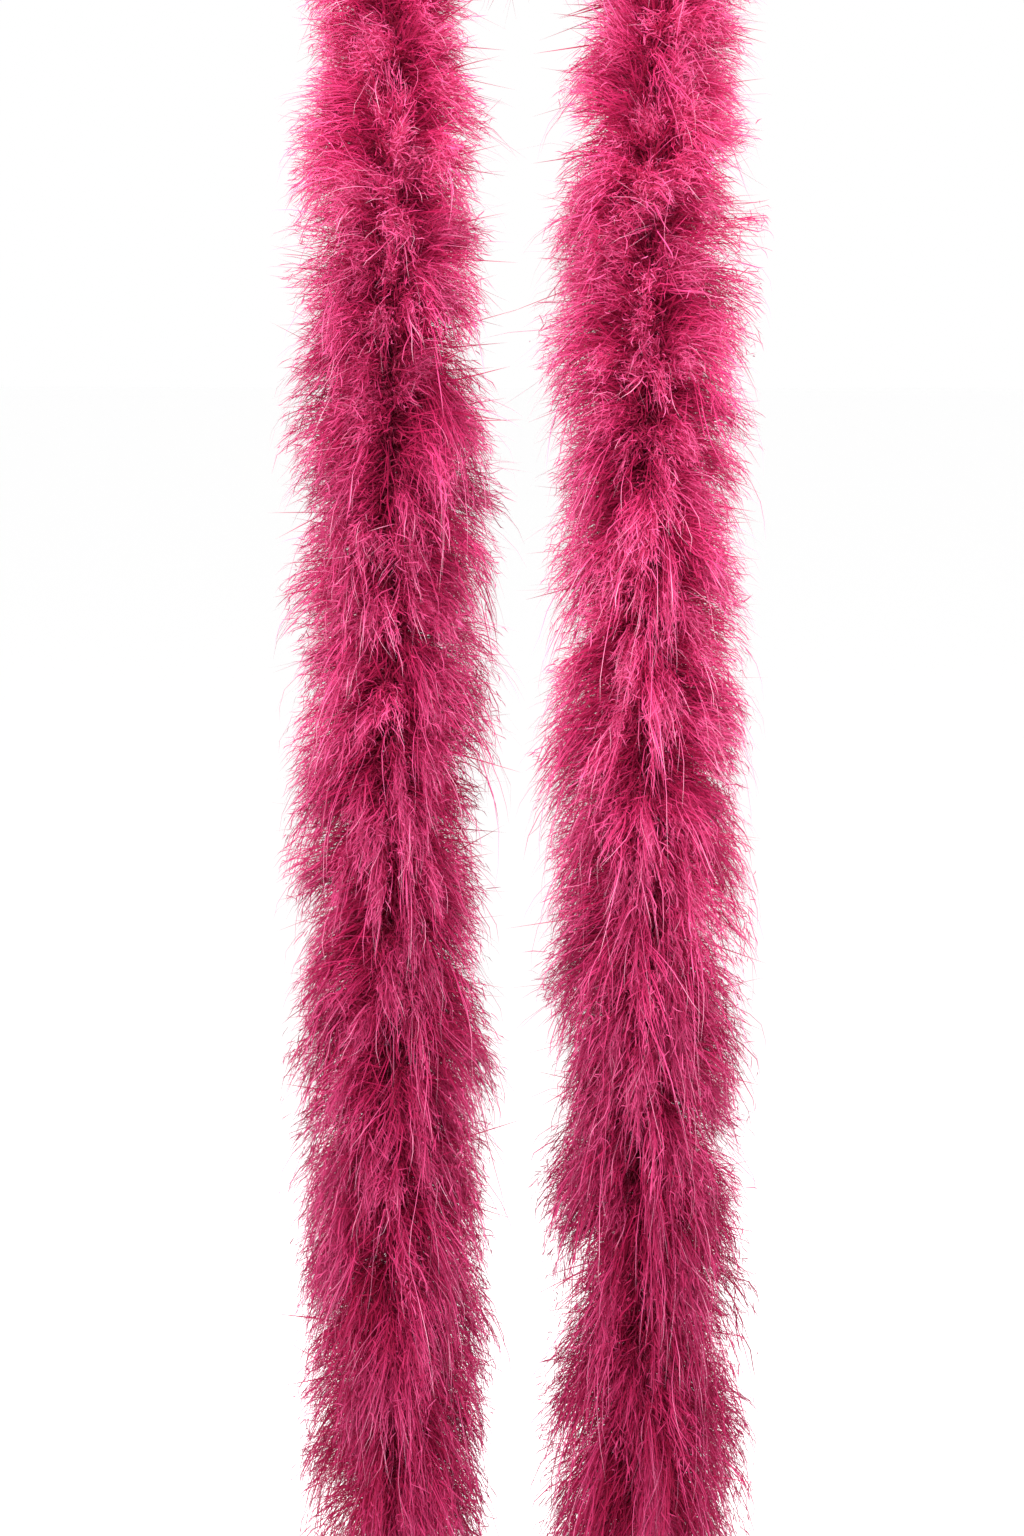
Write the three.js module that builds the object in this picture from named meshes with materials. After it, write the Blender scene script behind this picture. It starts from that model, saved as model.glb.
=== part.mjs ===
// A marabou feather boa, two metres long, worn round the neck with both ends hanging down in front.
//
// A boa is a string of down. Small fluffy feathers are laid quill first against a cotton core cord,
// a binding thread is wound round the cord to hold them, and each end is whipped with thread and
// knotted. Here the plumes are grouped in bunches, one solid to each stretch of cord: a hub of
// packed quills with plume blades standing out of it.
//
// Millimetres, +Z up. The wearer faces -Y, and the origin is where the boa rests on the nape.
// The collar stretch lies round the neck and down the chest as one piece. Below it each end hangs
// straight and bends between its bunches.
import * as THREE from "three";

// ---- driving dimensions ----
const boaLength = 2000; // the core cord from end to end
const plumeRadius = 48; // how far the plumes stand out from the core
const napeRadius = 30; // the same where the neck crushes them
const crushedUntil = 90; // from the nape to where the plumes begin to stand out more
const fullFrom = 280; // from the nape to where they stand out in full
const coreRadius = 1.5;
const threadRadius = 0.4;
const clearance = 0.3; // between pieces that lie against each other
const hubRadius = 7; // the packed quills round the core
const bladeCount = 6; // plume blades round each bunch
const bladeThickness = 2.4;
const bladeTwist = 0.5; // turn of the blades over one bunch, in radians
const droop = 0.35; // how far a plume falls for each millimetre that it stands out
const tailLength = 35; // how far the last plumes hang past the end of the core
const linksPerEnd = 6; // bunches on each hanging end, with one bend above each
const bunchesPerCollarSide = 6;
const bendLimit = THREE.MathUtils.degToRad(30); // at each bend of a hanging end
const bendSlack = THREE.MathUtils.degToRad(4); // left between two bunches at the limit
const collarGap = 2; // between two bunches of the collar
const whippingLength = 10;
const whippingRadius = 3.2;
const knotRadius = 4;

// ---- the route of the core ----
// One side of the collar, from the nape round the neck and down the chest to the first bend.
// The last stretch is upright, so that the free end hangs straight from it.
const collarSide = [
  [0, napeRadius, 0],
  [42, 23, 1],
  [70, -3, -1],
  [78, -42, -10],
  [75, -80, -34],
  [71, -110, -74],
  [68.5, -138, -122],
  [67, -163, -172],
  [66.5, -184, -222],
  [66.5, -199, -266],
  [66.5, -199, -302],
];
const collarPoints = [
  ...collarSide.slice(1).reverse().map(([x, y, z]) => new THREE.Vector3(-x, y, z)),
  ...collarSide.map((p) => new THREE.Vector3(...p)),
];
const collarCurve = new THREE.CatmullRomCurve3(collarPoints, false, "catmullrom", 0.5);
collarCurve.arcLengthDivisions = 2000;
const collarHalf = collarCurve.getLength() / 2;
const linkLength = (boaLength / 2 - collarHalf) / linksPerEnd;

// Directions along the collar: the tangent and two more square to it, with no twist.
const frameSteps = 400;
const frames = collarCurve.computeFrenetFrames(frameSteps, false);

// The point and directions of the core at a distance from the nape, on side -1 (left) or 1 (right).
function coreAt(side, distance) {
  const share = THREE.MathUtils.clamp(0.5 + (side * distance) / (2 * collarHalf), 0, 1);
  const point = collarCurve.getPointAt(share);
  point.z -= Math.max(0, distance - collarHalf);
  const low = Math.min(Math.floor(share * frameSteps), frameSteps - 1);
  const mix = share * frameSteps - low;
  const between = (list) => list[low].clone().lerp(list[low + 1], mix).normalize();
  return { point, across: between(frames.normals), third: between(frames.binormals) };
}

// The same with one signed distance for the whole cord, negative on the left.
function cordAt(level) {
  return coreAt(Math.sign(level) || 1, Math.abs(level));
}

function reachAt(distance) {
  const share = THREE.MathUtils.smoothstep(distance, crushedUntil, fullFrom);
  return THREE.MathUtils.lerp(napeRadius, plumeRadius, share);
}

function droopAt(distance) {
  return droop * THREE.MathUtils.smoothstep(distance, 0, collarHalf);
}

// ---- making the pieces ----
const finishes = {
  plume: { color: 0xb5305f, roughness: 0.9 },
  core: { color: 0x7d1f40, roughness: 0.85 },
  thread: { color: 0x94284f, roughness: 0.6 },
};
const boa = new THREE.Group();

function add(name, geometry, finish) {
  const material = new THREE.MeshStandardMaterial({ ...finishes[finish], metalness: 0 });
  const mesh = new THREE.Mesh(geometry, material);
  mesh.name = name;
  boa.add(mesh);
  return mesh;
}

function disc(radius, count) {
  const points = [];
  for (let i = 0; i < count; i++) {
    const turn = (i / count) * 2 * Math.PI;
    points.push(new THREE.Vector2(radius * Math.cos(turn), radius * Math.sin(turn)));
  }
  return points;
}

// ---- plumes ----
// The section of a bunch, with blades that reach only 1 beyond the hub. They are stretched to their
// real reach afterwards. The bore holds the core and its binding thread.
const boreSides = 8;
const boreRadius = (coreRadius + 2 * threadRadius + 2.5 * clearance) / Math.cos(Math.PI / boreSides);

function bunchSection() {
  const corners = [];
  for (let i = 0; i < bladeCount; i++) {
    const middle = (i / bladeCount) * 2 * Math.PI;
    const rootTurn = bladeThickness / 2 / hubRadius;
    const tipTurn = bladeThickness / 2 / plumeRadius;
    for (const [radius, turn] of [
      [hubRadius, middle - rootTurn],
      [hubRadius + 1, middle - tipTurn],
      [hubRadius + 1, middle + tipTurn],
      [hubRadius, middle + rootTurn],
    ]) {
      corners.push(new THREE.Vector2(radius * Math.cos(turn), radius * Math.sin(turn)));
    }
  }
  const section = new THREE.Shape(corners);
  section.holes.push(new THREE.Path(disc(boreRadius, boreSides).reverse()));
  return section;
}

// A bunch of plumes between two distances from the nape. Its end faces draw back from their
// neighbours by leanFrom and leanTo for each millimetre from the core, which is room for a bend.
// moreDroop is added to its plumes' fall by its lower end.
function bunch(side, from, to, steps, leanFrom, leanTo, moreDroop = 0) {
  const geometry = new THREE.ExtrudeGeometry(bunchSection(), { depth: 1, steps, bevelEnabled: false });
  const position = geometry.getAttribute("position");
  for (let i = 0; i < position.count; i++) {
    const share = position.getZ(i);
    const flat = Math.hypot(position.getX(i), position.getY(i));
    const beyond = Math.max(0, flat - hubRadius);
    const reach = reachAt(THREE.MathUtils.lerp(from, to, share));
    const radius = Math.min(flat, hubRadius) + beyond * (reach - hubRadius);
    const level = THREE.MathUtils.lerp(from + radius * leanFrom, to - radius * leanTo, share);
    const fall = (droopAt(level) + moreDroop * share) * Math.max(0, radius - hubRadius);
    const turn = Math.atan2(position.getY(i), position.getX(i)) + bladeTwist * share;
    const { point, across, third } = coreAt(side, level + fall);
    point.addScaledVector(across, radius * Math.cos(turn));
    point.addScaledVector(third, side * radius * Math.sin(turn));
    position.setXYZ(i, point.x, point.y, point.z);
  }
  return geometry;
}

const sides = { left: -1, right: 1 };
const collarBunch = collarHalf / bunchesPerCollarSide;
const collarSteps = 6;
const linkSteps = 2;
const bendLean = Math.tan((bendLimit + bendSlack) / 2) * (1 + droop * droop);
const lastStretch = whippingLength + 2 * clearance; // left bare above each end of the core
const tailDroop = (tailLength + lastStretch) / (plumeRadius - hubRadius) - droop;
for (const [word, side] of Object.entries(sides)) {
  for (let i = 0; i < bunchesPerCollarSide; i++) {
    const last = i === bunchesPerCollarSide - 1;
    const from = i * collarBunch + collarGap / 2;
    const to = (i + 1) * collarBunch - (last ? 0 : collarGap / 2);
    const geometry = bunch(side, from, to, collarSteps, 0, last ? bendLean : 0);
    add(`collar_plumes_${word}_${i + 1}`, geometry, "plume");
  }
  for (let i = 0; i < linksPerEnd; i++) {
    const last = i === linksPerEnd - 1;
    const from = collarHalf + i * linkLength;
    const to = from + linkLength - (last ? lastStretch : 0);
    const leanTo = last ? 0 : bendLean;
    const geometry = bunch(side, from, to, linkSteps, bendLean, leanTo, last ? tailDroop : 0);
    add(`plumes_${word}_${i + 1}`, geometry, "plume");
  }
}

// ---- core cord and binding thread ----
// A strand that lies along the core at some distance from its middle, winding round it if that
// distance is more than nothing.
const threadTurn = 86; // along the core for one turn of the thread

class Strand extends THREE.Curve {
  constructor(from, to, offset) {
    super();
    Object.assign(this, { from, to, offset });
  }
  getPoint(share) {
    const level = THREE.MathUtils.lerp(this.from, this.to, share);
    const { point, across, third } = cordAt(level);
    const turn = (level / threadTurn) * 2 * Math.PI;
    point.addScaledVector(across, this.offset * Math.cos(turn));
    return point.addScaledVector(third, this.offset * Math.sin(turn));
  }
}

function strand(from, to, offset, radius, count, steps) {
  const extrudePath = new Strand(from, to, offset);
  const section = new THREE.Shape(disc(radius, count));
  return new THREE.ExtrudeGeometry(section, { steps, extrudePath, bevelEnabled: false });
}

// The hanging stretches of the core have round ends that turn against each other at a bend. The
// flat end of the collar's core stands back far enough for the round end below it to turn clear.
const endGap = clearance / 2;
const flatBack = coreRadius + endGap - (coreRadius + endGap) * Math.cos(bendLimit);
const threadPath = coreRadius + clearance + threadRadius;
const threadBack = (threadPath + threadRadius) * Math.tan(bendLimit / 2) + endGap;
const arcPoints = 4;
const stepsPerTurn = 9;

function roundEnded(radius, length) {
  const profile = [];
  for (const end of [-1, 1]) {
    for (let i = 0; i < arcPoints; i++) {
      const share = end < 0 ? i / (arcPoints - 1) : 1 - i / (arcPoints - 1);
      const turn = share * (Math.PI / 2);
      const out = share === 0 ? 0 : radius * Math.sin(turn);
      profile.push(new THREE.Vector2(out, end * (length / 2 - radius + radius * Math.cos(turn))));
    }
  }
  return new THREE.LatheGeometry(profile, 8).rotateX(Math.PI / 2);
}

function addThread(name, from, to) {
  const steps = Math.ceil((Math.abs(to - from) / threadTurn) * stepsPerTurn);
  add(name, strand(from, to, threadPath, threadRadius, 5, steps), "thread");
}

const collarCore = strand(flatBack - collarHalf, collarHalf - flatBack, 0, coreRadius, 8, 66);
add("core_collar", collarCore, "core");
addThread("binding_thread_collar", threadBack - collarHalf, collarHalf - threadBack);
for (const [word, side] of Object.entries(sides)) {
  for (let i = 0; i < linksPerEnd; i++) {
    const last = i === linksPerEnd - 1;
    const from = collarHalf + i * linkLength;
    const to = from + linkLength;
    const stretch = roundEnded(coreRadius, linkLength - 2 * endGap);
    add(`core_${word}_${i + 1}`, stretch, "core").position.copy(coreAt(side, (from + to) / 2).point);
    const threadTo = to - (last ? lastStretch + clearance : threadBack);
    addThread(`binding_thread_${word}_${i + 1}`, side * (from + threadBack), side * threadTo);
  }
}

// ---- whipping and knot at each end ----
const ring = new THREE.Shape(disc(whippingRadius, 12));
const whippingBore = (coreRadius + clearance) / Math.cos(Math.PI / 12);
ring.holes.push(new THREE.Path(disc(whippingBore, 12).reverse()));
const knotProfile = [];
for (let i = 0; i <= 6; i++) {
  const turn = (i / 6 - 0.5) * Math.PI;
  const out = i % 6 === 0 ? 0 : knotRadius * Math.cos(turn);
  knotProfile.push(new THREE.Vector2(out, knotRadius * Math.sin(turn)));
}
for (const [word, side] of Object.entries(sides)) {
  const { point: end } = coreAt(side, boaLength / 2);
  const whipping = new THREE.ExtrudeGeometry(ring, { depth: whippingLength, bevelEnabled: false });
  add(`end_whipping_${word}`, whipping, "thread").position.copy(end);
  const knot = add(`end_knot_${word}`, new THREE.LatheGeometry(knotProfile, 12), "core");
  knot.rotation.x = Math.PI / 2;
  knot.position.set(end.x, end.y, end.z - clearance - knotRadius);
}

export default boa;
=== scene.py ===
import math

import bpy
import numpy as np
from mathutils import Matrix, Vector


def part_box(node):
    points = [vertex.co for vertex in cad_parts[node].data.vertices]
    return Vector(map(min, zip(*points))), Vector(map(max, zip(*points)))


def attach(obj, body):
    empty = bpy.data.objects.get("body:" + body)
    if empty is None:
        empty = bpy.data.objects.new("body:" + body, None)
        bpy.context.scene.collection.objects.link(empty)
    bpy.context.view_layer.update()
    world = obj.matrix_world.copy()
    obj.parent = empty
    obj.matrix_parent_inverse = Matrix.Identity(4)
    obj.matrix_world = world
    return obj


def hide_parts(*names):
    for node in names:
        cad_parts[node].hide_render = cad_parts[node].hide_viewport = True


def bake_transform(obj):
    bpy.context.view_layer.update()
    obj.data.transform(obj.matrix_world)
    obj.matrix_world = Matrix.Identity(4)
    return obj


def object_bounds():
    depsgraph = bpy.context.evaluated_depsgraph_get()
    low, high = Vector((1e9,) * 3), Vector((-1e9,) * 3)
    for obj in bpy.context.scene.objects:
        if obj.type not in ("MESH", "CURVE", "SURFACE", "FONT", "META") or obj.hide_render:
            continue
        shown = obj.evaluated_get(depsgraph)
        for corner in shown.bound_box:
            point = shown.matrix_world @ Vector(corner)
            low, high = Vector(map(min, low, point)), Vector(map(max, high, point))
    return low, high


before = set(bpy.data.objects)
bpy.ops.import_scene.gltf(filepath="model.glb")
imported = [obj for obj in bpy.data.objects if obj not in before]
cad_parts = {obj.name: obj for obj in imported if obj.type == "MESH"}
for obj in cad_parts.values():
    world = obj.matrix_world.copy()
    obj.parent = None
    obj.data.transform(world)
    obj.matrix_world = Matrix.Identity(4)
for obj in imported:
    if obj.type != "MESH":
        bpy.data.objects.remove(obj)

cad_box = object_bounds()


# ---- camera and studio ----
# The boa hangs as on a dress form: the camera stands in front of it at chest height and looks
# down a little. A pale floor and backdrop, and broad soft lamps that leave hardly a shadow.
VIEW_CENTRE = Vector((-0.0035, -0.20, -0.454))
CAMERA_DISTANCE = 2.6
CAMERA_HEIGHT = -0.15
CAMERA_ASIDE = 0.095  # the camera stands a little to the wearer's left
VIEW_HEIGHT = 0.799  # what the view spans at the hanging ends
SENSOR_HEIGHT = 36.0

camera_data = bpy.data.cameras.new("studio_camera")
camera_data.sensor_fit = "VERTICAL"
camera_data.sensor_height = SENSOR_HEIGHT
camera = bpy.data.objects.new("studio_camera", camera_data)
camera.location = (VIEW_CENTRE.x + CAMERA_ASIDE, VIEW_CENTRE.y - CAMERA_DISTANCE, CAMERA_HEIGHT)
towards = VIEW_CENTRE - camera.location
camera.rotation_euler = towards.to_track_quat("-Z", "Y").to_euler()
camera_data.lens = SENSOR_HEIGHT * towards.length / VIEW_HEIGHT
bpy.context.scene.collection.objects.link(camera)
bpy.context.scene.camera = camera


def linear(hex_colour):
    """An sRGB hex colour as the linear values that the shaders take."""
    values = [int(hex_colour[i:i + 2], 16) / 255 for i in (1, 3, 5)]
    return [v / 12.92 if v <= 0.04045 else ((v + 0.055) / 1.055) ** 2.4 for v in values] + [1.0]


def node(tree, kind, links=(), **settings):
    """Adds a shader node. links are (input, value), where a value may be another node's output."""
    made = tree.nodes.new(kind)
    for name, value in settings.items():
        setattr(made, name, value)
    for socket, value in links:
        if isinstance(value, bpy.types.NodeSocket):
            tree.links.new(value, made.inputs[socket])
        else:
            made.inputs[socket].default_value = value
    return made


def new_material(name):
    """A material with its Principled shader, ready for colours and patterns."""
    material = bpy.data.materials.new(name)
    material.use_nodes = True
    tree = material.node_tree
    return material, tree, tree.nodes["Principled BSDF"]


def backdrop_sheet(name, corners, colour):
    mesh = bpy.data.meshes.new(name)
    mesh.from_pydata(corners, [], [(0, 1, 2, 3)])
    sheet = bpy.data.objects.new(name, mesh)
    bpy.context.scene.collection.objects.link(sheet)
    material, tree, shader = new_material(name + "_matt_paint")
    shader.inputs["Base Color"].default_value = linear(colour)
    shader.inputs["Roughness"].default_value = 0.9
    mesh.materials.append(material)


FLOOR = -1.25
ROOM = 24.0
backdrop_sheet("floor", [(-ROOM, -ROOM, FLOOR), (ROOM, -ROOM, FLOOR), (ROOM, ROOM, FLOOR),
                         (-ROOM, ROOM, FLOOR)], "#fefefe")


def soft_lamp(name, place, size, watts):
    lamp = bpy.data.lights.new(name, "AREA")
    lamp.shape = "SQUARE"
    lamp.size = size
    lamp.energy = watts
    holder = bpy.data.objects.new(name, lamp)
    holder.location = place
    holder.rotation_euler = (VIEW_CENTRE - holder.location).to_track_quat("-Z", "Y").to_euler()
    bpy.context.scene.collection.objects.link(holder)


soft_lamp("key_lamp", Vector((-0.9, -1.8, 0.9)), 1.3, 48)
soft_lamp("fill_lamp", Vector((1.3, -1.9, 0.6)), 1.5, 36)
soft_lamp("back_lamp", Vector((0.4, 2.2, 1.2)), 1.6, 44)
world = bpy.data.worlds.new("pale_studio")
world.use_nodes = True
world.node_tree.nodes["Background"].inputs["Color"].default_value = linear("#ffffff")
world.node_tree.nodes["Background"].inputs["Strength"].default_value = 1.0
bpy.context.scene.world = world
bpy.context.scene.view_settings.view_transform = "Standard"


# ---- core cord ----
# The boa is built on a soft cotton cord of two plies, 3 mm thick and two metres long. It goes
# round the neck and down the chest, and from the bust down both ends hang free and straight.
CORD_LENGTH = 2.0
CORD_DIAMETER = 0.003
COLLAR_SIDE = [
    (0, 0.030, 0),
    (0.042, 0.023, 0.001),
    (0.070, -0.003, -0.001),
    (0.078, -0.042, -0.010),
    (0.075, -0.080, -0.034),
    (0.071, -0.110, -0.074),
    (0.0685, -0.138, -0.122),
    (0.067, -0.163, -0.172),
    (0.0665, -0.184, -0.222),
    (0.0665, -0.199, -0.266),
    (0.0665, -0.199, -0.302),
]
STEPS_PER_SPAN = 60


def smooth_route(points):
    """A Catmull-Rom curve through the points, as a dense list of places."""
    p = np.array([(-x, y, z) for x, y, z in points[1:2]] + list(points), float)
    p = np.vstack([p, 2 * p[-1] - p[-2]])
    u = np.linspace(0, 1, STEPS_PER_SPAN, endpoint=False)[:, None]
    spans = []
    for a, b, c, d in zip(p, p[1:], p[2:], p[3:]):
        leave, arrive = (c - a) / 2, (d - b) / 2
        spans.append(b + leave * u + (3 * (c - b) - 2 * leave - arrive) * u**2
                     + (2 * (b - c) + leave + arrive) * u**3)
    return np.vstack(spans + [p[-2:-1]])


collar_route = smooth_route(COLLAR_SIDE)
collar_marks = np.concatenate([[0], np.cumsum(np.linalg.norm(np.diff(collar_route, axis=0), axis=1))])
COLLAR_HALF = collar_marks[-1]
HALF_LENGTH = CORD_LENGTH / 2


def carried_frames(route):
    """The front and outward directions along one side, carried up from the hanging end untwisted."""
    along = np.gradient(route, axis=0)
    along /= np.linalg.norm(along, axis=1)[:, None]
    front = np.zeros_like(route)
    front[-1] = (0, -1, 0)
    for i in range(len(route) - 2, -1, -1):
        carried = front[i + 1] - along[i] * front[i + 1].dot(along[i])
        front[i] = carried / np.linalg.norm(carried)
    return along, front, np.cross(front, along)


collar_frames = carried_frames(collar_route)


def on_core(signed):
    """Place, direction away from the nape, front and outward direction at distances from the nape.
    Distances are in metres, negative on the wearer's right."""
    signed = np.asarray(signed, float)
    mirror = np.where(signed < 0, -1.0, 1.0)
    reached = np.minimum(np.abs(signed), COLLAR_HALF)
    found = []
    for values in (collar_route, *collar_frames):
        column = np.stack([np.interp(reached, collar_marks, values[:, i]) for i in range(3)], axis=-1)
        column[..., 0] *= mirror
        found.append(column)
    found[0][..., 2] -= np.maximum(np.abs(signed) - COLLAR_HALF, 0)
    for column in found[1:]:
        column /= np.linalg.norm(column, axis=-1)[..., None]
    return found


SIDES = {"left": -1, "right": 1}
LINKS = 6
LINK_LENGTH = (HALF_LENGTH - COLLAR_HALF) / LINKS


def stretches():
    """Each stretch of the boa, cut midway between bends: its name, signed from and to, its bend."""
    middle = COLLAR_HALF - LINK_LENGTH / 2
    yield "collar", -middle, middle, None, 0
    for word, side in SIDES.items():
        for link in range(1, LINKS + 1):
            start = middle + (link - 1) * LINK_LENGTH
            end = HALF_LENGTH if link == LINKS else start + LINK_LENGTH
            yield f"{word}_{link}", side * start, side * end, word, link


def hang(piece, word, link):
    """Joins a piece to the collar if it has no bend; a piece with a bend only has its placement baked
    into its mesh.
    """
    if link == 0:
        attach(piece, "collar")
        return
    bend = on_core(SIDES[word] * (COLLAR_HALF + (link - 1) * LINK_LENGTH))[0]
    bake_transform(piece)


def strands_mesh(name, paths, radius, sides):
    """Round strands along lists of places, as one mesh with closed ends."""
    curve = bpy.data.curves.new(name, "CURVE")
    curve.dimensions = "3D"
    curve.bevel_depth = radius
    curve.bevel_resolution = (sides - 4) // 2
    curve.use_fill_caps = True
    for path in paths:
        spline = curve.splines.new("POLY")
        spline.points.add(len(path) - 1)
        spline.points.foreach_set("co", np.hstack([path, np.ones((len(path), 1))]).ravel())
    holder = bpy.data.objects.new(name + "_curve", curve)
    bpy.context.scene.collection.objects.link(holder)
    mesh = bpy.data.meshes.new_from_object(holder.evaluated_get(bpy.context.evaluated_depsgraph_get()))
    bpy.data.objects.remove(holder)
    mesh.name = name
    mesh.materials.clear()
    mesh.shade_smooth()
    piece = bpy.data.objects.new(name, mesh)
    bpy.context.scene.collection.objects.link(piece)
    return piece


def wound(start, end, offset, pitch, phase, per_turn=10):
    """Places along a strand that winds round the core at an offset, one turn to each pitch."""
    count = max(2, int(abs(end - start) / pitch * per_turn))
    marks = np.linspace(start, end, count + 1)
    place, _, front, outward = on_core(marks)
    turn = (marks * 2 * math.pi / pitch + phase)[:, None]
    return place + offset * (front * np.cos(turn) + outward * np.sin(turn))


PLY_RADIUS = 0.00082
PLY_OFFSET = CORD_DIAMETER / 2 - PLY_RADIUS
PLY_PITCH = 0.011

# Dyed cotton: matt, with a slight fuzz and the dye a little uneven along it.
cotton, tree, shader = new_material("dyed_cotton_cord")
place = node(tree, "ShaderNodeTexCoord").outputs["Object"]
uneven = node(tree, "ShaderNodeTexNoise", [("Vector", place), ("Scale", 160.0), ("Detail", 3.0)])
dye = node(tree, "ShaderNodeValToRGB", [("Fac", uneven.outputs["Fac"])])
dye.color_ramp.elements[0].position = 0.3
dye.color_ramp.elements[0].color = linear("#5c1230")
dye.color_ramp.elements[1].position = 0.7
dye.color_ramp.elements[1].color = linear("#8a2348")
tree.links.new(dye.outputs["Color"], shader.inputs["Base Color"])
shader.inputs["Roughness"].default_value = 0.85
shader.inputs["Sheen Weight"].default_value = 0.2

for name, start, end, word, link in stretches():
    plies = [wound(start, end, PLY_OFFSET, PLY_PITCH, phase) for phase in (0, math.pi)]
    core = strands_mesh(f"core_cord_{name}", plies, PLY_RADIUS, 8)
    core.data.materials.append(cotton)
    marks = np.linspace(start, end, max(12, int(abs(end - start) / 0.01)))
    route = on_core(marks)[0]
    hang(core, word, link)
    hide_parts("core_collar" if link == 0 else f"core_{word}_{link}")


# ---- binding thread ----
# A spun thread wound closely round the core holds the quills on it. It has a faint sheen, and
# sinks a little between the plies.
THREAD_RADIUS = 0.00022
THREAD_PITCH = 0.0045
THREAD_OFFSET = CORD_DIAMETER / 2 + THREAD_RADIUS * 0.6
WHIPPING_LENGTH = 0.010

thread_finish, tree, shader = new_material("spun_polyester_thread")
place = node(tree, "ShaderNodeTexCoord").outputs["Object"]
twist = node(tree, "ShaderNodeTexNoise", [("Vector", place), ("Scale", 900.0), ("Detail", 2.0)])
dye = node(tree, "ShaderNodeValToRGB", [("Fac", twist.outputs["Fac"])])
dye.color_ramp.elements[0].color = linear("#741a3c")
dye.color_ramp.elements[1].color = linear("#a93a63")
tree.links.new(dye.outputs["Color"], shader.inputs["Base Color"])
shader.inputs["Roughness"].default_value = 0.5
shader.inputs["Sheen Weight"].default_value = 0.15

for name, start, end, word, link in stretches():
    if link == LINKS:
        end -= SIDES[word] * WHIPPING_LENGTH
    turns = wound(start, end, THREAD_OFFSET, THREAD_PITCH, 0.4)
    thread = strands_mesh(f"binding_thread_{name}", [turns], THREAD_RADIUS, 4)
    thread.data.materials.append(thread_finish)
    hang(thread, word, link)
    body_node = "binding_thread_collar" if link == 0 else f"binding_thread_{word}_{link}"
    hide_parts(body_node)


# ---- whipping and knot at each end ----
# Close turns of thread stop the cord's end from opening, and an overhand knot below them stops
# the whipping from sliding off.
WHIPPING_RADIUS = 0.0026
WHIPPING_THREAD = 0.00042
KNOT_SIZE = 0.0036
KNOT_CORD_RADIUS = 0.0012

for word, side in SIDES.items():
    tip = side * HALF_LENGTH
    turns = wound(tip - side * WHIPPING_LENGTH, tip, WHIPPING_RADIUS, WHIPPING_THREAD * 2, 0, 14)
    whipping = strands_mesh(f"end_whipping_wound_{word}", [turns], WHIPPING_THREAD, 6)
    whipping.data.materials.append(thread_finish)
    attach(whipping, f"{word}_end_{LINKS}")
    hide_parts(f"end_whipping_{word}")

    low, high = (Vector(corner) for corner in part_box(f"end_knot_{word}"))
    middle = (low + high) / 2
    t = np.linspace(0, 2 * math.pi, 61)
    trefoil = np.stack([np.sin(t) + 2 * np.sin(2 * t), np.cos(t) - 2 * np.cos(2 * t), -2 * np.sin(3 * t)],
                       axis=-1) / 3
    knot = strands_mesh(f"end_knot_tied_{word}", [np.array(middle) + KNOT_SIZE * trefoil],
                        KNOT_CORD_RADIUS, 8)
    knot.data.materials.append(cotton)
    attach(knot, f"{word}_end_{LINKS}")
    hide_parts(f"end_knot_{word}")


# ---- marabou down ----
# Turkey down dyed raspberry: each feather is a short quill bound to the core, with soft barbs on
# both sides and a cloud of finer fluff between them. Round the neck the feathers stand out all
# ways, and lower down they fall more and more with their own weight.
FEATHERS_PER_METRE = 900
FEATHERS_PER_TUFT = 2
TUFT_TURN = 2.4  # radians from one tuft to the next round the core
TUFT_SCATTER = 0.3  # radians by which a tuft strays from its turn
FEATHER_SCATTER = 0.2  # radians by which a feather strays from its tuft
ROOT_SCATTER = 0.0025  # how far its root strays along the core
RIGHT_SIDE_TURN = 1.3  # so that the two ends do not mirror each other
QUILL_START = 0.0022
CURL = 0.40  # how much a barb's slope changes either side of its feather's, in radians
TAIL = 0.057  # how far the last feathers may hang past the cord's end
END_CROWDING = 1.5  # 1 would set the last feathers evenly

# Distance from the nape against how far the coat stands out, how steeply it falls, how
# unevenly it lies, how far its feathers lean aside, and how light the down is drawn: lighter near the
# nape and darker towards the ends, partly uneven dye and partly painted light of the brighter-lit top.
REACH = ([0, 0.09, 0.28, 0.40, 1.0], [0.037, 0.039, 0.051, 0.054, 0.054])
FALL = ([0, 0.20, 0.30, 0.42, 0.60, 0.80, 0.95, 1.0], [0.02, 0.08, 0.18, 0.34, 0.52, 0.68, 0.76, 1.20])
UNEVEN = ([0, 0.30, 0.50, 0.95, 1.0], [0.36, 0.34, 0.24, 0.18, 0.30])
LEAN = ([0, 0.30, 0.60, 1.0], [0.34, 0.30, 0.22, 0.18])
LIGHT_AND_DYE_MARKS = [0, 0.24, 0.30, 0.41, 0.55, 0.71, 0.88, 1.0]
LIGHT_AND_DYE_LEFT = (LIGHT_AND_DYE_MARKS, [0.95, 0.97, 0.85, 0.36, 0.53, 0.29, 0.14, 0.10])
LIGHT_AND_DYE_RIGHT = (LIGHT_AND_DYE_MARKS, [0.95, 0.97, 0.85, 0.62, 0.70, 0.31, 0.06, 0.04])
DYE_CHANGE = 0.09  # between tufts, and again between the feathers of one

# Where the wave of pockets is above this share, the feathers in front part and stand out less.
POCKET_FROM = 0.25
POCKET_WIDTH = 0.5  # radians
POCKET_TURN = 0.28  # radians
POCKET_SHORTENING = 0.40
FULLNESS_CHANGE = 0.07
NECK_PRESS = 0.25  # how much the neck crushes the feathers on its side
NECK_PRESS_FADE = 0.20  # the distance from the nape over which that fades
LEAST_OUT = 0.45  # of its length, or a feather that falls steeply would grow too long
SAG = 0.010  # of the tips where the core lies level

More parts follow.
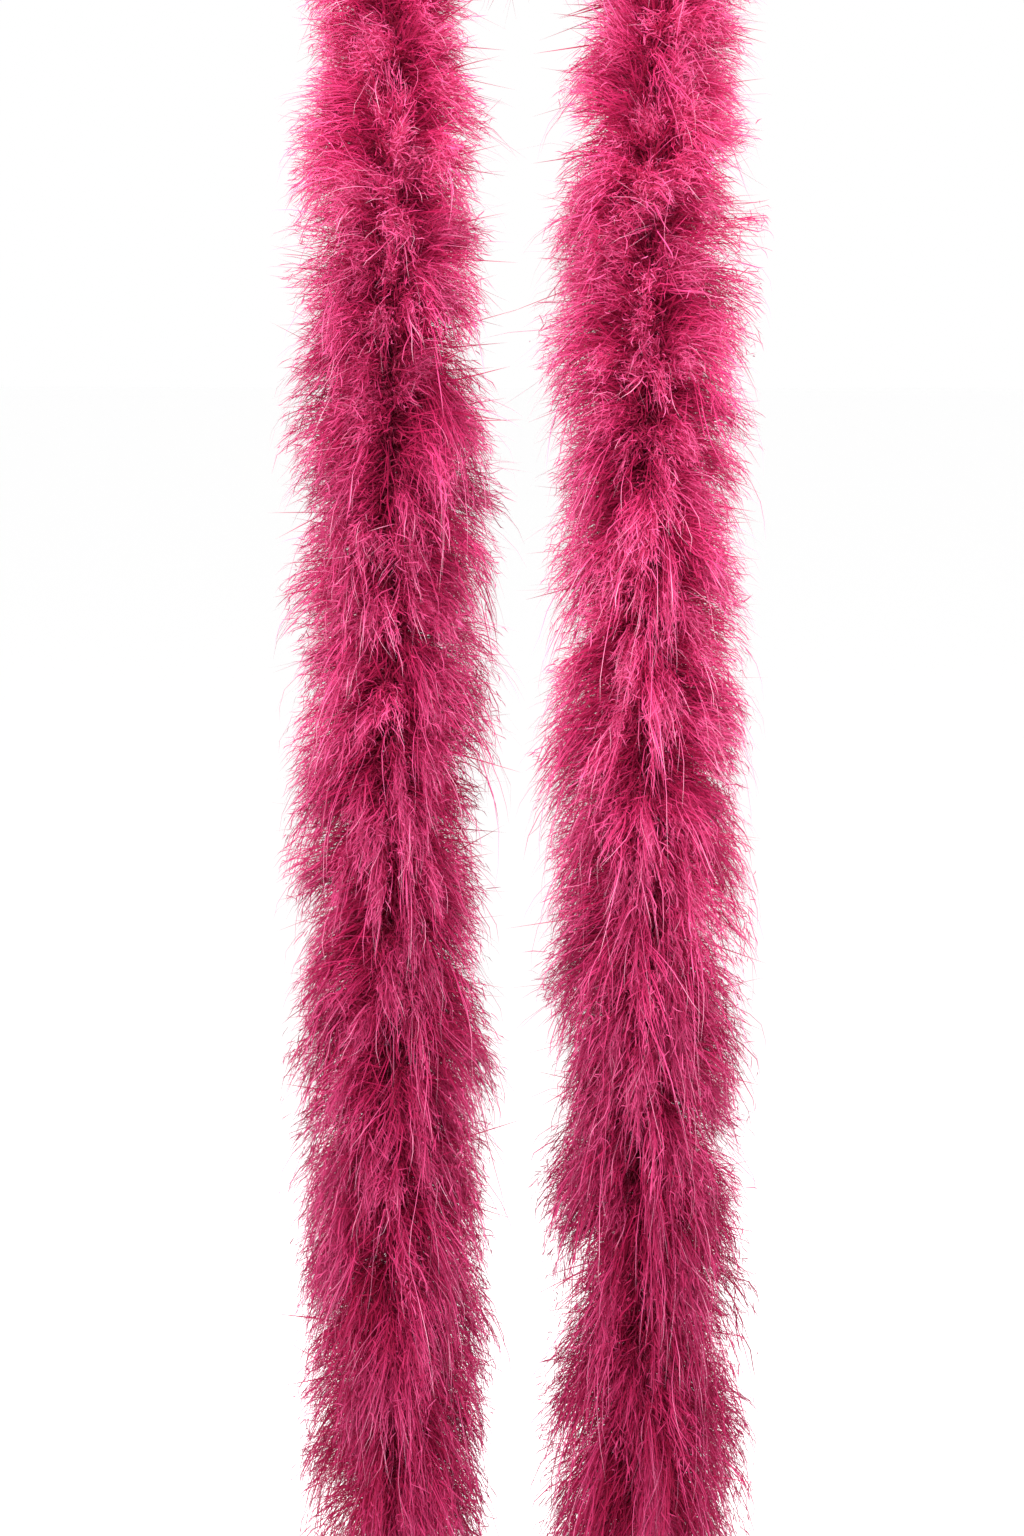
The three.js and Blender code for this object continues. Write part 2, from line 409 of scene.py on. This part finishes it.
# The coat is given the room of its plain solid, 3% of each side, and a little less than 10 mm.
ROOM_SHARE = 0.03
ROOM_MARGIN = 0.0085
room_low, room_high = (np.array(corner) for corner in cad_box)
ROOM_EDGE = 0.010  # tips that reach into the last of that room bend back


def bent_back(places):
    """The places, with any that stand out too far drawn gently back inside the coat's room."""
    spare = ROOM_SHARE * (room_high - room_low) + ROOM_MARGIN - ROOM_EDGE
    over = np.maximum(places - (room_high + spare), 0)
    under = np.maximum((room_low - spare) - places, 0)
    keep = over - ROOM_EDGE * (1 - np.exp(-over / ROOM_EDGE))
    return places - keep + (under - ROOM_EDGE * (1 - np.exp(-under / ROOM_EDGE)))


def waves(seed, count, longest):
    """A smooth random function of a distance and a turn, mostly between -1 and 1."""
    rng = np.random.default_rng(seed)
    terms = [(rng.uniform(1, 3.2) / longest, rng.integers(0, 4), rng.uniform(0, 2 * math.pi))
             for _ in range(count)]

    def value(distance, turn):
        total = sum(np.sin(2 * math.pi * f * distance + k * turn + p) for f, k, p in terms)
        return total / math.sqrt(count)
    return value


fullness = waves(7, 7, 0.16)
pockets = waves(11, 5, 0.12)


class Feathers:
    """The feathers rooted between two distances: where each stands, and how it falls."""

    def __init__(self, rng, start, end):
        tufts = int(abs(end - start) * FEATHERS_PER_METRE / FEATHERS_PER_TUFT)
        tuft = np.repeat(np.arange(tufts), FEATHERS_PER_TUFT)
        count = len(tuft)
        self.rng = rng
        share = (tuft + rng.uniform(0, 1, tufts)[tuft]) / tufts
        if abs(end) == HALF_LENGTH:  # the last tufts crowd towards the cord's end and hide it
            share = 1 - (1 - share) ** END_CROWDING
        root = start + (end - start) * share
        root += rng.normal(0, ROOT_SCATTER, count)
        self.root = np.clip(root, min(start, end), max(start, end))
        distance = np.abs(self.root)
        # Each tuft is turned on from the last, as the cord is wound, so that no side is left bare.
        # The count runs on from the piece before, or a gap would open where two pieces meet.
        before = round(abs(start) * FEATHERS_PER_METRE / FEATHERS_PER_TUFT)
        turn = (before + tuft) * TUFT_TURN + (RIGHT_SIDE_TURN if start > 0 else 0)
        turn += rng.normal(0, TUFT_SCATTER, tufts)[tuft] + rng.normal(0, FEATHER_SCATTER, count)
        turn = (turn + math.pi) % (2 * math.pi) - math.pi
        # In front they part here and there, which opens dark pockets along the middle.
        open_here = np.clip(pockets(self.root, 0) - POCKET_FROM, 0, 1)
        open_here *= np.exp(-(turn / POCKET_WIDTH) ** 2)
        open_here *= np.interp(distance, [0.5, 0.8], [1, 0.2])
        self.turn = turn + POCKET_TURN * open_here * np.where(turn < 0, -1, 1)
        reach = np.interp(distance, *REACH) * (1 + FULLNESS_CHANGE * fullness(self.root, turn))
        pressed = np.exp(-(distance / NECK_PRESS_FADE) ** 2) * np.clip(-np.sin(turn), 0, 1)
        reach *= (1 - NECK_PRESS * pressed) * (1 - POCKET_SHORTENING * open_here)
        self.reach = reach * rng.uniform(0.86, 1.06, tufts)[tuft] * rng.uniform(0.88, 1.0, count)
        uneven = 0.7 * rng.normal(0, 1, tufts)[tuft] + 0.6 * rng.normal(0, 1, count)
        self.fall = np.interp(distance, *FALL) + uneven * np.interp(distance, *UNEVEN)
        self.lean = rng.normal(0, 1, count) * np.interp(distance, *LEAN)
        self.roll = rng.uniform(0, math.pi, count)
        # The lightness by distance is partly painted light, lighter near the nape, and partly uneven dye;
        # the random changes between tufts and feathers are the dye's own.
        left, right = np.interp(distance, *LIGHT_AND_DYE_LEFT), np.interp(distance, *LIGHT_AND_DYE_RIGHT)
        shade = np.where(self.root < 0, left, right) + DYE_CHANGE * rng.normal(0, 1, tufts)[tuft]
        self.shade = np.clip(shade + DYE_CHANGE * rng.normal(0, 1, count), 0.02, 0.98)

    def path(self, owner, slope_change, v, sideways, endways):
        """Places at v along some of the feathers, moved across their vanes. v is 1 at the tip."""
        first = (self.fall[owner] + slope_change - CURL)[:, None]
        last = first + 2 * CURL
        out_each = (np.sin(last) - np.sin(first)) / (last - first)
        down_each = (np.cos(first) - np.cos(last)) / (last - first)
        length = (self.reach[owner, None] - QUILL_START) / np.maximum(out_each, LEAST_OUT)
        room = HALF_LENGTH - np.abs(self.root[owner, None]) + TAIL
        furthest = length * down_each * np.maximum(v[:, -1:], 1)
        length = length * np.minimum(1, room / np.maximum(furthest, 0.001))
        bend = last - first
        angle = first + bend * v
        out = QUILL_START + length * (np.sin(angle) - np.sin(first)) / bend - endways * np.sin(angle)
        down = length * (np.cos(first) - np.cos(angle)) / bend + endways * np.cos(angle)

        place, away, front, outward = on_core(self.root[owner])
        turn = self.turn[owner, None]
        radial = front * np.cos(turn) + outward * np.sin(turn)
        across = np.cross(away, radial)
        sideways = sideways + self.lean[owner, None] * out * v
        places = (place[:, None] + radial[:, None] * out[..., None] + away[:, None] * down[..., None]
                  + across[:, None] * sideways[..., None])
        # Where the core lies level, the tips sag.
        places[..., 2] -= SAG * (1 - np.abs(away[:, 2:3])) * v**2
        flow = radial[:, None] * np.cos(angle)[..., None] + away[:, None] * np.sin(angle)[..., None]
        return places, flow, radial


def barbs(feathers, each, points, starts, lengths, furthest, spread, uneven, ripple):
    """Barbs that leave the quills at starts along them and fan out by spread."""
    rng = feathers.rng
    owner = np.repeat(np.arange(len(feathers.root)), each)
    count = len(owner)
    first = rng.uniform(*starts, count)[:, None]
    last = np.minimum(first + rng.uniform(*lengths, count)[:, None],
                      furthest * rng.uniform(0.9, 1, count)[:, None])
    own = np.linspace(0, 1, points)[None]
    v = first + (last - first) * own
    roll = feathers.roll[owner] + rng.normal(0, 0.5, count) + math.pi * rng.integers(0, 2, count)
    fan = rng.uniform(0.1, 1.0, count)[:, None] * spread * (1 - (1 - own) ** 2.2) * (1 - 0.4 * own**2)
    wave = ripple * rng.normal(0, 1, (2, count, 1))
    wave = wave * np.sin(own * rng.uniform(3, 8, (2, count, 1)) + rng.uniform(0, 6.3, (2, count, 1)))
    sideways = fan * np.cos(roll)[:, None] + wave[0] * own
    endways = fan * np.sin(roll)[:, None] + wave[1] * own
    places, _, facing = feathers.path(owner, rng.normal(0, uneven, count), v, sideways, endways)
    return places, facing, v, feathers.shade[owner]


def fluff(feathers, each, points, shortest, longest, spread):
    """Short fine barbs that curl every way out of the feathers, and fill them."""
    rng = feathers.rng
    owner = np.repeat(np.arange(len(feathers.root)), each)
    count = len(owner)
    v = rng.uniform(0.04, 0.93, count)[:, None]
    roll = feathers.roll[owner] + rng.normal(0, 0.6, count) + math.pi * rng.integers(0, 2, count)
    off = (rng.uniform(0, 1, count) * spread)[:, None] * np.minimum(1, 3 * v) * (1 - 0.4 * v)
    sideways, endways = off * np.cos(roll)[:, None], off * np.sin(roll)[:, None]
    start, flow, facing = feathers.path(owner, rng.normal(0, 0.1, count), v, sideways, endways)
    own = np.linspace(0, 1, points)[None, :, None]
    leave = 0.75 * flow + 0.62 * rng.normal(0, 1, (count, 1, 3))
    arrive = 0.95 * flow + 0.55 * rng.normal(0, 1, (count, 1, 3))
    length = rng.uniform(shortest, longest, (count, 1, 1)) * np.maximum(1.1 - v, 0.45)[..., None]
    places = start + length * (leave * own + (arrive - leave) * own**2 / 2)
    return places, facing, v + 0.10 * own[..., 0], feathers.shade[owner]


def undercoat(feathers, each, points, longest):
    """Short soft barbs at the foot of the feathers, that stand out from the core all round."""
    rng = feathers.rng
    count = len(feathers.root) * each
    marks = np.repeat(feathers.root, each) + rng.uniform(-0.004, 0.004, count)
    place, away, front, outward = on_core(marks)
    turn = rng.uniform(-math.pi, math.pi, count)[:, None]
    radial = front * np.cos(turn) + outward * np.sin(turn)
    leave = (radial + 0.5 * rng.normal(0, 1, (count, 3)))[:, None]
    arrive = (radial + 0.4 * away + 0.7 * rng.normal(0, 1, (count, 3)))[:, None]
    own = np.linspace(0, 1, points)[None, :, None]
    length = rng.uniform(0.4, 1, (count, 1, 1)) * longest
    places = (place + 0.0016 * radial)[:, None] + length * (leave * own + (arrive - leave) * own**2 / 2)
    # Its place on the map stays low, so the undercoat takes the dark quill end of the colour: painted
    # shade deep in the coat.
    return places, radial, np.repeat(0.08 + 0.34 * own[..., 0], count, axis=0), np.full(count, 0.5)


class Ribbons:
    """Thin tapered ribbons gathered into one mesh. No operator draws these, so they are set out
    here: two points across the barb at each place along it, and one at its tip."""

    def __init__(self, rng):
        self.rng = rng
        self.vertices, self.loops, self.starts, self.maps = [], [], [], []
        self.vertex_count = self.loop_count = 0

    def lay(self, places, facing, v, shade, width, light=(0.0, 0.12)):
        count, steps = places.shape[:2]
        rng = self.rng
        places = bent_back(places)
        along = np.gradient(places, axis=1)
        flat = np.cross(along, 0.4 * facing[:, None] + rng.normal(0, 1, (count, 1, 3)))
        flat /= np.maximum(np.linalg.norm(flat, axis=2), 1e-9)[..., None]
        taper = np.interp(np.linspace(0, 1, steps), [0, 0.2, 0.5, 0.8, 1], [0.6, 1, 0.95, 0.6, 0.2])
        wide = width * rng.uniform(0.7, 1.25, count)
        half = flat * (taper * wide[:, None] / 2)[..., None]
        rails = np.stack([places[:, :-1] - half[:, :-1], places[:, :-1] + half[:, :-1]], axis=2)
        vertices = np.concatenate([rails.reshape(count, -1, 3), places[:, -1:]], axis=1)
        each = vertices.shape[1]
        quads = np.array([(i, i + 1, i + 3, i + 2) for i in range(0, each - 3, 2)]).ravel()
        corners = np.concatenate([quads, [each - 3, each - 2, each - 1]])
        starts = np.append(np.arange(0, len(quads), 4), len(quads))
        one = np.arange(count)[:, None]
        self.loops.append((corners + one * each).ravel() + self.vertex_count)
        self.starts.append((starts + one * len(corners)).ravel() + self.loop_count)
        self.vertices.append(vertices.reshape(-1, 3))
        self.vertex_count += count * each
        self.loop_count += count * len(corners)
        # The map holds the barb's shade across and its place along the feather upwards, which sets how
        # much painted shade of the quill end it gets.
        shade = np.clip(shade + rng.normal(*light, count), 0.02, 0.98)
        across_map = shade[:, None] + np.array([-0.004, 0.004] * (steps - 1) + [0])
        height = np.clip(np.broadcast_to(v, (count, steps)) / 1.4, 0.01, 0.99)
        up_map = np.concatenate([np.repeat(height[:, :-1], 2, axis=1), height[:, -1:]], axis=1)
        self.maps.append(np.stack([across_map, up_map], axis=2)[:, corners].reshape(-1, 2))

    def piece(self, name):
        mesh = bpy.data.meshes.new(name)
        mesh.vertices.add(self.vertex_count)
        mesh.vertices.foreach_set("co", np.concatenate(self.vertices).astype(np.float32).ravel())
        mesh.loops.add(self.loop_count)
        mesh.loops.foreach_set("vertex_index", np.concatenate(self.loops).astype(np.int32))
        starts = np.concatenate(self.starts).astype(np.int32)
        mesh.polygons.add(len(starts))
        mesh.polygons.foreach_set("loop_start", starts)
        mesh.update(calc_edges=True)
        mesh.shade_smooth()
        barb_map = mesh.uv_layers.new(name="OFBake")
        barb_map.data.foreach_set("uv", np.concatenate(self.maps).astype(np.float32).ravel())
        piece = bpy.data.objects.new(name, mesh)
        bpy.context.scene.collection.objects.link(piece)
        return piece


# The down is drawn dark at the quill and light at the tips: the darkening towards the quill is painted
# shade, the shade deep inside the coat, laid over the dye. No two feathers take the dye alike.
down_dye_and_painted_shade, tree, shader = new_material("marabou_down_dye_and_painted_shade")
mapped = node(tree, "ShaderNodeUVMap", uv_map="OFBake").outputs["UV"]
parts = node(tree, "ShaderNodeSeparateXYZ", [("Vector", mapped)])
dye_and_quill_shade = node(tree, "ShaderNodeValToRGB", [("Fac", parts.outputs["Y"])])
stops = dye_and_quill_shade.color_ramp.elements
# The dark stops at the quill end are painted shade of the depth of the coat.
stops[0].position, stops[0].color = 0.0, linear("#8a0e37")
stops[1].position, stops[1].color = 0.92, linear("#f7b5cc")
for position, colour in ((0.12, "#bc1a54"), (0.30, "#df2f70"), (0.52, "#e94687"), (0.70, "#ee6ba0")):
    stop = stops.new(position)
    stop.color = linear(colour)
# Each barb's lightness: uneven dye, with painted light making the coat lighter near the nape.
dye_and_top_light = node(tree, "ShaderNodeValToRGB", [("Fac", parts.outputs["X"])])
dye_and_top_light.color_ramp.elements[0].color = linear("#a0537c")
dye_and_top_light.color_ramp.elements[1].color = linear("#ffffff")
# The dye times the barb's lightness: it carries the painted shade at the quill and the painted light near
# the nape.
dyed = node(tree, "ShaderNodeMix", [("Factor", 1.0)], data_type="RGBA", blend_type="MULTIPLY")
tree.links.new(dye_and_quill_shade.outputs["Color"], dyed.inputs["A"])
tree.links.new(dye_and_top_light.outputs["Color"], dyed.inputs["B"])
tree.links.new(dyed.outputs["Result"], shader.inputs["Base Color"])
shader.inputs["Roughness"].default_value = 0.6
shader.inputs["Specular IOR Level"].default_value = 0.12
shader.inputs["Sheen Weight"].default_value = 0.2
shader.inputs["Sheen Roughness"].default_value = 0.4
shader.inputs["Sheen Tint"].default_value = linear("#ff7fac")

COLLAR_BUNCHES = 6
COLLAR_BUNCH = COLLAR_HALF / COLLAR_BUNCHES
COLLAR_END = COLLAR_HALF - LINK_LENGTH / 2
collar_cuts = [-COLLAR_END, -4 * COLLAR_BUNCH, -2.5 * COLLAR_BUNCH, -COLLAR_BUNCH,
               COLLAR_BUNCH, 2.5 * COLLAR_BUNCH, 4 * COLLAR_BUNCH, COLLAR_END]
collar_parts = {
    "down_chest_left": ["collar_plumes_left_5", "collar_plumes_left_6"],
    "down_collarbone_left": ["collar_plumes_left_3", "collar_plumes_left_4"],
    "down_neck_left": ["collar_plumes_left_2"],
    "down_nape": ["collar_plumes_left_1", "collar_plumes_right_1"],
    "down_neck_right": ["collar_plumes_right_2"],
    "down_collarbone_right": ["collar_plumes_right_3", "collar_plumes_right_4"],
    "down_chest_right": ["collar_plumes_right_5", "collar_plumes_right_6"],
}


# How many ribbons of each kind a feather has. Real barbs are far finer and more numerous, so each
# ribbon is drawn as wide as it needs to be to show.
VANE_BARBS = 62
LONG_FLUFF = 120
SHORT_FLUFF = 66
FOOT_FLUFF = 30
HAIRS = 5


def down_piece(name, seed, start, end):
    rng = np.random.default_rng(seed)
    feathers = Feathers(rng, start, end)
    ribbons = Ribbons(rng)
    ribbons.lay(*undercoat(feathers, FOOT_FLUFF, points=3, longest=0.034), width=0.00095)
    ribbons.lay(*barbs(feathers, VANE_BARBS, points=4, starts=(0.02, 0.72), lengths=(0.26, 0.5),
                       furthest=1.05, spread=0.0120, uneven=0.16, ripple=0.0012), width=0.00056)
    ribbons.lay(*fluff(feathers, LONG_FLUFF, points=3, shortest=0.009, longest=0.018, spread=0.0125),
                width=0.00050)
    ribbons.lay(*fluff(feathers, SHORT_FLUFF, points=3, shortest=0.006, longest=0.012, spread=0.0135),
                width=0.00056)
    places, facing, v, shade = barbs(
        feathers, HAIRS, points=6, starts=(0.2, 0.6), lengths=(0.6, 0.95),
        furthest=1.36, spread=0.0135, uneven=0.24, ripple=0.0018)
    ribbons.lay(places, facing, v + 0.1, shade, width=0.00036, light=(0.3, 0.1))
    piece = ribbons.piece(name)
    piece.data.materials.append(down_dye_and_painted_shade)
    return piece


for seed, (name, bunches) in enumerate(collar_parts.items()):
    piece = down_piece(name, 100 + seed, collar_cuts[seed], collar_cuts[seed + 1])
    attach(piece, "collar")
    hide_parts(*bunches)

for seed, (name, start, end, word, link) in enumerate(stretches()):
    if link == 0:
        continue
    piece = down_piece(f"down_{name}", 200 + seed, start, end)
    hang(piece, word, link)
    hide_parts(f"plumes_{word}_{link}")
